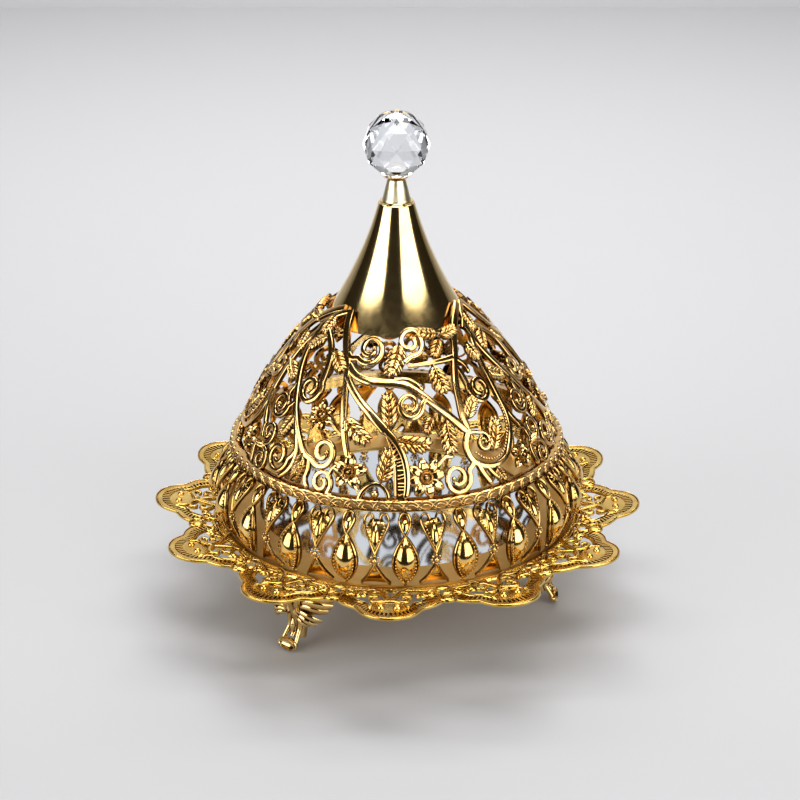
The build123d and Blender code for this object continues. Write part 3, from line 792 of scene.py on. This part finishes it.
def marquise():
    """Domed marquise with a bright rim and the drop on its head."""
    parts = [gallery_sheet(18, 6, MARQUISE_FOOT, MARQUISE_TALL, lambda share: max(0.25, marquise_half(share) - 1.2),
                           marquise_lift, 1.2)]
    for side in (1, -1):
        edge = [(side * (marquise_half(index / 16) - 0.7), MARQUISE_FOOT + MARQUISE_TALL * index / 16)
                for index in range(17)]
        parts.append(band(laid(on_gallery, edge, 1.2), 1.7, 1.5, 0.9))
    top = MARQUISE_FOOT + MARQUISE_TALL
    loop = [(0.0, top - 1), (2.2, top + 2.6), (3.5, top + 6.2), (2.4, top + 8.8), (0, top + 9.6), (-2.4, top + 8.8),
            (-3.5, top + 6.2), (-2.2, top + 2.6), (0.0, top - 1)]
    parts.append(band(laid(on_gallery, loop, 0.8), 1.7, 1.4, 0.9))
    parts.append(petal_relief(on_gallery, (0, top + 1.6), 7.4, 5.4, 90, 0.4, 1.7, 0.0, 7))
    return parts


def heart():
    """Heart with an inner drop, whose lobes curl in, on a filled stand with side rails."""
    top = RAIL_FOOT + 0.2
    parts = []
    for side in (1, -1):
        curl = [(0, HEART_POINT - 1.0), (side * 3.4, HEART_POINT + 6.5), (side * 6.6, HEART_POINT + 12.5),
                (side * 7.6, HEART_POINT + 16), (side * 6.2, top - 1.2), (side * 3.6, top - 0.9),
                (side * 1.9, top - 3.2), (side * 2.8, top - 5.4), (side * 4.4, top - 4.8)]
        parts.append(band(laid(on_gallery, curl, 0.8), taper(1.7, 1.3, 0.05), 1.4, 0.9))
        stand = [(0.0, LEDGE + 15.5), (side * 2.2, LEDGE + 11), (side * 5.0, LEDGE + 5.5), (side * 8.4, LEDGE + 0.3)]
        parts.append(band(laid(on_gallery, stand, 1.2), 1.5, 1.3, 0.9))
    low, high = HEART_POINT + 0.5, top - 3.5
    parts.append(gallery_sheet(
        10, 4, low, high - low,
        lambda share: max(0.3, 5.6 * min(1.0, share * 1.5) * (1 if share < 0.8 else 1 - (share - 0.8) * 1.6)),
        lambda side, share: 0.5 + 0.5 * (1 - side ** 2), 1.2))
    parts.append(petal_relief(lambda x, y: on_gallery(x, y, 0.4), (0, HEART_POINT + 3.0), 12.6, 5.0, 90, 0.6, 2.0,
                              0.0, 8))
    parts.append(gallery_sheet(5, 3, LEDGE + 0.4, 13.5, lambda share: 8.0 * (1 - share) ** 0.8 + 0.3,
                               lambda side, share: 0.1 - 0.9 * (1 - side ** 2), 1.0))
    return parts


def raised(across, height, lift, size):
    """A bead's place off the gallery's wall, and its size."""
    spot, outward = on_gallery(across, height)
    return spot + outward * lift, size


def heart_beads():
    """Beads along a heart's edges and in the rosette under it."""
    spots = [raised(side * (1.6 + 4.2 * (index / 6)), HEART_POINT + 5 + 9.5 * (index / 6), 1.0, 0.62)
             for index in range(7) for side in (1, -1)]
    spots.append(raised(0, ROSETTE, 1.1, 1.7))
    for index in range(8):
        angle = 2 * pi * index / 8
        spots.append(raised(2.7 * cos(angle), ROSETTE + 2.7 * sin(angle), 0.5, 0.85))
    return spots


def marquise_beads():
    spots = []
    for index in range(13):
        share = 0.12 + 0.76 * index / 12
        half = marquise_half(share) - 2.3
        spots += [raised(side * half, MARQUISE_FOOT + MARQUISE_TALL * share,
                         marquise_lift(half / (half + 1.1), share), 0.6) for side in (1, -1)]
    return spots


def gallery():
    ringed("marquises", GALLERY, marquise(), GALLERY_COUNT, GALLERY_TURN, ("gallery_marquises",), 50)
    ringed("hearts", GALLERY, heart(), GALLERY_COUNT, HEART_TURN, ("gallery_hearts",), 50)
    beads("marquise_beads", GALLERY, marquise_beads(), 1.0, GALLERY_COUNT, GALLERY_TURN)
    beads("heart_beads", GALLERY, heart_beads(), 1.0, GALLERY_COUNT, HEART_TURN)


# ---------------------------------------------------------------- the tray's rim
def on_petal(across, along, inward=0.7):
    """Spot on the front petal, outwards being up; along is the distance from the pan's edge."""
    up = Vector((0, sin(RIM_TILT), cos(RIM_TILT)))
    out = Vector((0, -cos(RIM_TILT), sin(RIM_TILT)))
    return Vector((0, -PAN_EDGE, LEDGE_UNDER)) + Vector((across, 0, 0)) + out * along - up * inward, up


def sunk_petal(across, along):
    return on_petal(across, along, 1.0)


def petal_edge(inset=0.0):
    """Half outline of a petal from its valley to its tip: a side lobe and half of the middle lobe."""
    tip = RIM_TIP - PAN_EDGE - 1.1
    valley, joint, radius = (31.5, 7.6), (19.4, 27.4), 19.0
    points = [valley]
    for share in (0.25, 0.5, 0.75):
        middle = (valley[0] + (joint[0] - valley[0]) * share, valley[1] + (joint[1] - valley[1]) * share)
        swell = 3.4 * sin(pi * share)
        points.append((middle[0] + swell * 0.85, middle[1] + swell * 0.5))
    points.append(joint)
    for angle in (18, 38, 58, 75, 90):
        points.append((radius * cos(radians(angle)), tip - radius + radius * sin(radians(angle))))
    if inset:
        points = [(x * (1 - inset / 36), 7 + (y - 7) * (1 - inset / 37)) for x, y in points]
    return points


def both(half):
    """A whole outline from half of it."""
    return list(half) + [(-x, y) for x, y in reversed(half[:-1])]


FIELD_EDGE = petal_edge(10.4)[:7] + [(8.6, 22.6), (5.6, 20.6), (2.6, 19.8), (0.0, 19.6)]
# hook, arm, curl and tendril of a petal's half, as (course, widths at its start and end, blunt share, height)
ARMS = (
    (((0.4, 15.4), (2.8, 18.6), (5.8, 20.4), (9.0, 20.8), (11.0, 18.6), (9.8, 16.2), (7.6, 17.0)),
     3.2, 1.9, 0.06, 1.5),
    (((0.4, 17.0), (2.4, 12.4), (4.6, 7.4), (8.2, 3.2), (12.5, 0.6)), 3.4, 2.8, 0.0, 1.5),
    (((5.4, 6.6), (9.2, 6.8), (11.8, 9.4), (11.4, 12.6), (8.8, 13.8), (7.0, 12.2), (7.8, 10.6)),
     2.4, 1.6, 0.06, 1.4),
    (((8.4, 1.6), (13, 3.6), (18, 3.4), (24, 2.2), (28.5, 3.4)), 2.4, 2.0, 0.0, 1.3),
)


def strip(outer, inner, swell):
    """Raised field between two lines on a petal, its middle swelled."""
    points = []
    for near, far in zip(outer, inner):
        for share, lift in ((0, -1.2), (0, 0), (0.5, swell), (1, 0), (1, -1.2)):
            place = near.lerp(far, share)
            spot, up = on_petal(place.x, place.y)
            points.append(spot + up * lift)
    return points, tube_faces(len(outer) - 1, 5)


def petal():
    """Pierced petal: lip, row of small arches, smooth field with two bosses, arms, buds and a loop at each side."""
    parts = [band(laid(on_petal, both(petal_edge()), 1.4), 0.9, 0.7, 1.0),
             band(laid(on_petal, both(petal_edge(2.3)), 1.4), 3.2, 0.35, 1.0, BROAD)]
    arches = flat_course(both(petal_edge(4.2)), 2.7)
    arch_feet = even(flat_course(both(petal_edge(8.8)), 1.0), 0.5)
    inner = even(flat_course(both(FIELD_EDGE), 1.0), 0.5)
    count = len(arches) - 1
    for index in range(1, count):
        here, there = arches[index], matched(arch_feet, index / count)
        parts.append(band([on_petal(here.x, here.y), on_petal(there.x, there.y)], 1.5, 0.4, 0.9, BEVELLED))
        corners = (here, arches[index + 1], matched(arch_feet, (index + 1) / count), there)
        parts.append(([on_petal(place.x, place.y, depth)[0] for depth in (1.5, 1.9) for place in corners], BOX_FACES))
    steps = 40
    edges = [[matched(line, index / steps) for index in range(steps + 1)] for line in (arch_feet, inner)]
    parts.append(strip(*edges, 0.8))
    parts.append(band(laid(on_petal, both(FIELD_EDGE), 1.4), 1.3, 1.0, 1.0))
    for side in (1, -1):
        parts.append(button(*on_petal(side * 4.6, 28.0, 0.2), 2.2, 2.0, 12, 3))
        for places, start, end, blunt, height in ARMS:
            course = laid(on_petal, [(side * x, y) for x, y in places], 1.0)
            parts.append(band(course, taper(start, end, blunt), height, 1.0, BROAD))
        parts += [petal_relief(sunk_petal, (side * 17.0, 7.2), 5.4, 4.0, tilt, 0.6, 1.8, 0.0, 4, 3)
                  for tilt in (-10, 50, 110)]
        parts.append(ring_bar(on_petal, 3.2, 1.8, 1.4, 16, (side * 22.8, 7.4)))
        parts.append(petal_relief(sunk_petal, (side * 1.2, 2.4), 7.0, 3.8, 90 - side * 62, 0.6, 1.5, 0.0, 5, 3))
        parts.append(petal_relief(sunk_petal, (side * 27.0, 1.6), 7.6, 4.0, 90 + side * 40, 0.6, 1.5, 0.0, 5, 3))
    return parts


def petal_rosette():
    """Loop with a bud between two petals, and a twig at each side of it."""
    parts = [ring_bar(on_petal, 4.5, 1.7, 1.3, 18, (0, 17.0)),
             petal_relief(sunk_petal, (0, 12.6), 8.8, 5.6, 90, 0.6, 2.0, 0.7)]
    for side in (1, -1):
        twig = [(side * 0.8, 1.5), (side * 4.2, 4.5), (side * 5.6, 9.5), (side * 4.0, 13.8)]
        parts.append(band(laid(on_petal, twig, 1.2), taper(2.0, 1.6), 1.2, 1.0))
    return [turned(part, 180 / PETALS) for part in parts]


def rim():
    ringed("rim_petals", RIM, petal() + petal_rosette(), PETALS, PETAL_TURN, ("tray_rim",), 45)
    piece("rim_flange", RIM,
          [lathe([(99.5, 58.6), (112.2, 58.6), (113.4, 59.2), (112.6, 60.4), (111, 59.9), (99.5, 59.9)], 144)])
    row = [(at_azimuth(360 / RIM_BEADS * index, RIM_BEAD_REACH, LEDGE_UNDER), 1.0)
           for index in range(RIM_BEADS // PETALS)]
    beads("rim_bead_row", RIM, row, 0.9, PETALS)


# ---------------------------------------------------------------- the lid's ring
def on_ring(across, height, inward=0.5):
    """Spot on the front of the lid's ring, whose face leans in."""
    outward = Vector((0, -0.977, 0.215))
    turn = Matrix.Rotation(across / RING_ROUND, 3, "Z")
    face = Vector((0, -RING_FACE + (height - RING_FACE_FOOT) * RING_LEAN, height))
    return turn @ (face - outward * inward), turn @ outward


def scallop():
    """One scallop of the chain border: a bold arch over a lesser one, its tail running under the next."""
    arch = [(-4.6, 106.4), (-4.4, 108.4), (-2.6, 110.3), (0.2, 110.9), (2.8, 110.0), (4.6, 108.2), (6.6, 106.9),
            (8.4, 106.5)]
    lower = [(x * 0.62 + 0.2, 106.4 + (y - 106.4) * 0.62) for x, y in arch]
    return [band(laid(on_ring, places, 0.9), taper(start, end), height, 1.0)
            for places, start, end, height in ((arch, 1.5, 0.9, 1.0), (lower, 1.1, 0.6, 0.7))]


def lid_ring():
    profile = [(95.8, 108.7), (100.4, 108.7), (100.4, 105.5), (101.0, 105.5), (101.9, 106.4), (101.9, 110.6),
               (101.2, 111.1), (95.8, 111.1)]
    lip = [(101.0, 105.55), (103.2, 105.55), (103.5, 105.8), (103.2, 106.2), (102.4, 106.3), (101.0, 106.3)]
    ground = [(101.5, 106.2), (102.1, 106.2), (102.1, 110.8), (101.5, 110.8)]
    piece("lid_seat_ring", OPENWORK, [lathe(profile, 180), lathe(lip, 180)], ("lid_ring",))
    # the chain's ground is dark gold: painted shade behind the scallops
    piece("chain_floor", ("lid", "dome_gold", shade_painted_gold), [lathe(ground, 180)])
    ringed("rope_border", OPENWORK, scallop(), SCALLOPS, 0.0, sharp=70)


# ---------------------------------------------------------------- the finial
def cap():
    outer = [(cap_radius(index / 24), CAP_FOOT + CAP_HEIGHT * index / 24) for index in range(25)]
    outer += [(10.8, CAP_TOP - 1.6), (10.5, CAP_TOP - 1.3), (10.0, CAP_TOP - 1.2), (9.85, CAP_TOP - 1.0),
              (9.85, CAP_TOP - 0.3), (9.6, CAP_TOP), (8.4, CAP_TOP)]
    inner = [(2.6, CAP_TOP), (2.6, CAP_TOP - 1.0), (9.0, CAP_TOP - 1.6)]
    inner += [(cap_radius(index / 12) - 1.0, CAP_FOOT + CAP_HEIGHT * index / 12) for index in range(11, -1, -1)]
    piece("flared_cap", ("lid", "cap_gold", cap_gold), [lathe(outer + inner, 128)], ("cap",), 35)
    neck = [(2.6, CAP_TOP + 0.02), (8.5, CAP_TOP + 0.02), (8.5, CAP_TOP + 0.7), (8.25, CAP_TOP + 1.0),
            (5.45, NECK_TOP - 0.4), (5.3, NECK_TOP - 0.02), (2.6, NECK_TOP - 0.02)]
    piece("neck_cone", ("lid", "cap_gold", neck_brass), [lathe(neck, 72)], ("finial_neck",))
    collar = [(2.6, NECK_TOP), (5.4, NECK_TOP), (5.6, NECK_TOP + 0.2), (6.1, NECK_TOP + 0.9), (7.3, NECK_TOP + 1.5),
              (7.7, NECK_TOP + 1.9), (7.7, BALL_SEAT - 0.15), (7.3, BALL_SEAT - 0.02), (2.6, BALL_SEAT - 0.02)]
    piece("ball_cup", OPENWORK, [lathe(collar, 64)], ("ball_collar",))


# ---------------------------------------------------------------- the feet
def tapered(places, radii, sides=10, flatten=1.0):
    """Rod through places in space, round or flattened, with radii spread evenly along it."""
    line = even(smooth_course(places, 1.6), 1.6)
    points = []
    last = len(line) - 1
    aside = None
    for index, point in enumerate(line):
        along = (line[min(index + 1, last)] - line[max(index - 1, 0)]).normalized()
        if aside is None:
            aside = along.cross(Vector((0.0, 1.0, 0.2))).normalized()
        aside = (aside - along * aside.dot(along)).normalized()
        other = along.cross(aside)
        share = index / last * (len(radii) - 1)
        low = min(int(share), len(radii) - 2)
        radius = radii[low] + (radii[low + 1] - radii[low]) * (share - low)
        for side in range(sides):
            turn = 2 * pi * side / sides
            points.append(point + (aside * cos(turn) + other * sin(turn) * flatten) * radius)
    return points, tube_faces(last, sides)


def foot_point(across, out, up):
    """Place on a foot that faces the front: across, outwards from the tread, and up."""
    return Vector((across, -TREAD - out, up))


def scoop():
    """The toe's dished face, its lip and the swell behind it."""
    centre, lean, sides = foot_point(0, 5.2, 5.0), radians(12), 24
    outward, along = Vector((0, -cos(lean), sin(lean))), Vector((0, sin(lean), cos(lean)))
    rings = ((0.0, -1.5), (0.4, -1.3), (0.72, -0.7), (0.88, 0.1), (0.97, 0.5), (1.06, 0.2), (1.04, -1.0),
             (0.84, -3.0), (0.5, -4.4), (0.0, -4.8))
    points = []
    for reach, out in rings:
        for side in range(sides):
            angle = 2 * pi * side / sides
            points.append(centre + Vector((7.2 * reach * cos(angle), 0, 0)) + along * (3.8 * reach * sin(angle))
                          + outward * out)
    return points, [face[::-1] for face in tube_faces(len(rings) - 1, sides)[:-2]]


# a foot's rods as (course across, outwards and up, radii, flattening): its middle, then each side before and
# after the leaf's fingers
MIDDLE_RODS = (
    (((0, -6.5, 5), (0, -7.4, 10), (0, -6.8, 18), (0, -8.4, 27), (0, -15, 38), (0, -24, 50)),
     (3.4, 4.0, 3.8, 4.2, 6.0, 7.0), 1.0),
    (((0, 1.0, 8.4), (0, -1.6, 12), (0, -2.6, 19), (0, 0.4, 28), (0, 4.0, 38), (0, 4.8, 46), (0, 2.0, 51)),
     (2.0, 2.2, 2.0, 2.2, 3.0, 3.4, 2.4), 1.0),
    (((0, 0.6, 11), (0, 0.2, 15), (0, -0.6, 20)), (1.0, 1.9, 0.8), 1.0),
)
STEM_RODS = (
    (((5.2, 3.4, 6.2), (4.6, 0.8, 10), (4.0, -2.0, 15), (4.2, -1.4, 24), (6.0, 2.6, 33), (10.0, 5.0, 41),
      (14.5, 4.0, 46.5)), (1.3, 1.6, 1.8, 1.9, 2.0, 1.8, 1.4), 1.0),
    (((3.0, -3.4, 9), (3.6, -5, 16), (5, -4.4, 25), (10, -5, 34), (16, -8, 42), (18, -11, 50)),
     (2.4, 2.6, 2.6, 2.8, 2.8, 2.0), 1.0),
    (((1.5, -8, 22), (5, -14, 32), (9, -21, 42), (12, -26, 51)), (1.4, 3.0, 3.6, 3.4), 1.0),
)
LEAF_RODS = (
    (((2, 0, 24), (8, -2.4, 29), (14, -6.5, 34), (18, -9.5, 38)), (3.0, 6.0, 7.0, 4.0), 0.5),
    (((3, 0, 34), (9, -1.6, 38), (14, -6, 43), (17, -9, 47)), (4.0, 6.4, 6.4, 4.0), 0.5),
    (((8, 4.0, 46), (13, 5.6, 44.5), (15.5, 5.8, 48), (12.5, 5.2, 50.4), (10.6, 5.2, 48.4)),
     (1.2, 1.7, 1.6, 1.4, 1.0), 1.0),
)
# an acanthus leaf's fingers as (root, tip, thickness), across, outwards and up
FINGERS = (
    ((4.0, 1.0, 23.0), (12.5, -1.0, 19.0), 1.7), ((4.4, 1.0, 24.8), (16.0, -3.0, 20.0), 2.0), ((4.8, 1.0, 27.0),
     (18.5, -5.0, 22.6), 2.2),
    ((5.5, 0.6, 30.5), (21.0, -8.0, 28.6), 2.6), ((6.0, 0.4, 33.8), (23.5, -9.5, 32.4), 3.1), ((6.0, 0.0, 37.5),
     (24.0, -10.5, 36.8), 3.3),
    ((6.0, -0.4, 41.5), (23.0, -10.5, 41.6), 3.3), ((5.0, -1.0, 45.5), (19.0, -9.5, 46.0), 3.0),
)


def finger(root, tip, thick, side):
    """One fluted finger of a leaf: it arches outwards and its tip curls back."""
    root, tip = Vector(root), Vector(tip)
    places = []
    for share, out, up in ((0.0, 0.0, 0.0), (0.3, 2.2, 1.6), (0.62, 3.2, 1.6), (0.86, 2.2, 0.6), (1.0, 0.0, 0.0)):
        spot = root.lerp(tip, share)
        places.append(foot_point(side * spot.x, spot.y + out, spot.z + up))
    return tapered(places, (thick * 0.6, thick * 0.85, thick, thick, thick * 0.62), 8, 0.62)


def rods(table, side=1):
    return [tapered([foot_point(side * across, out, up) for across, out, up in places], radii, 10, flatten)
            for places, radii, flatten in table]


def foot():
    """Cast foot: scooped toe, ribbed stem and a fluted acanthus leaf at each side."""
    parts = [scoop()] + rods(MIDDLE_RODS)
    for side in (1, -1):
        parts += rods(STEM_RODS, side) + [finger(*values, side) for values in FINGERS] + rods(LEAF_RODS, side)
    return parts


def feet():
    shape = put(foot())
    for name, azimuth in FEET.items():
        piece(f"acanthus_{name}", ("base", "foot_gold", foot_gold), [turned(shape, azimuth)], (name,), 60)


# ---------------------------------------------------------------- everything
def dress():
    """Finishes for the solids whose shape stays."""
    for node, finish in (("tray_pan", ledge_gold), ("mirror_plate", mirror_glass), ("gallery_top_rail", gallery_gold),
                         ("crystal_ball", crystal), ("foot_screws", steel), ("finial_stud", steel),
                         ("stud_nut", steel), ("mirror_tapes", tape)):
        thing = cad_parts[node]
        thing.data.materials.clear()
        thing.data.materials.append(finish)


# lamps as (name, place, width, height, watts, the point they face), in metres
LAMPS = (
    ("left softbox", (-1.32, -0.66, 0.615), 1.5, 0.93, 17.5, (-0.58, 0.40, 0.615)),
    ("right softbox", (1.19, -0.89, 0.655), 1.85, 1.01, 20.5, (0.66, 0.30, 0.655)),
    ("front softbox", (0.1, -0.62, 1.24), 1.2, 0.34, 8, (0, 0, 0.16)),
    ("top softbox", (0.1, 0.25, 1.35), 0.9, 0.5, 9, (0, 0, 0.1)),
    ("wall", (0.0, 0.95, 1.6), 2.6, 0.5, 44, (0, 1.9, 0.0)),
)


def studio():
    """Camera, floor, backdrop and lights, in metres."""
    camera = stood("camera", bpy.data.cameras.new("camera"))
    camera.location = (0.00203, -1.0199, 0.5598)
    camera.rotation_euler = (radians(67.2), 0, 0)
    camera.data.sensor_width = 36
    camera.data.lens = 81
    scene = bpy.context.scene
    scene.camera = camera
    made, _, shader = material("pale_floor")
    fill(shader, {"Base Color": (0.44, 0.44, 0.45, 1), "Roughness": 0.6})
    side, near, front, back, tall = 3.2, 0.46, 2.4, 2.0, 2.6
    ground = [(-side, -near, 0), (side, -near, 0), (side, back, 0), (-side, back, 0), (side, back, tall),
              (-side, back, tall)]
    apron = [(-side, -front, 0), (side, -front, 0), (side, -near, 0), (-side, -near, 0)]
    # the front of the floor isn't mirrored in the metal, which keeps dark lines in it
    for name, corners, sheets, mirrored in (("floor", ground, [(0, 1, 2, 3), (3, 2, 4, 5)], True),
                                            ("front_floor", apron, [(0, 1, 2, 3)], False)):
        mesh = bpy.data.meshes.new(name)
        mesh.from_pydata(corners, [], sheets)
        mesh.materials.append(made)
        floor = stood(name, mesh)
        floor.visible_glossy = mirrored
    world = bpy.data.worlds.new("studio")
    scene.world = world
    world.use_nodes = True
    fill(world.node_tree.nodes["Background"], {"Color": (0.62, 0.54, 0.44, 1), "Strength": 0.035})
    for name, place, wide, tall, power, aim in LAMPS:
        lamp = bpy.data.lights.new(name, "AREA")
        lamp.shape = "RECTANGLE"
        lamp.size, lamp.size_y, lamp.energy = wide, tall, power
        light = stood(name, lamp)
        light.location = place
        light.rotation_euler = (Vector(place) - Vector(aim)).to_track_quat("Z", "Y").to_euler()
    scene.view_settings.view_transform = "Standard"
    scene.view_settings.look = "None"
    scene.view_settings.exposure = 0.0


studio()
dress()
dome()
gallery()
rim()
lid_ring()
cap()
feet()
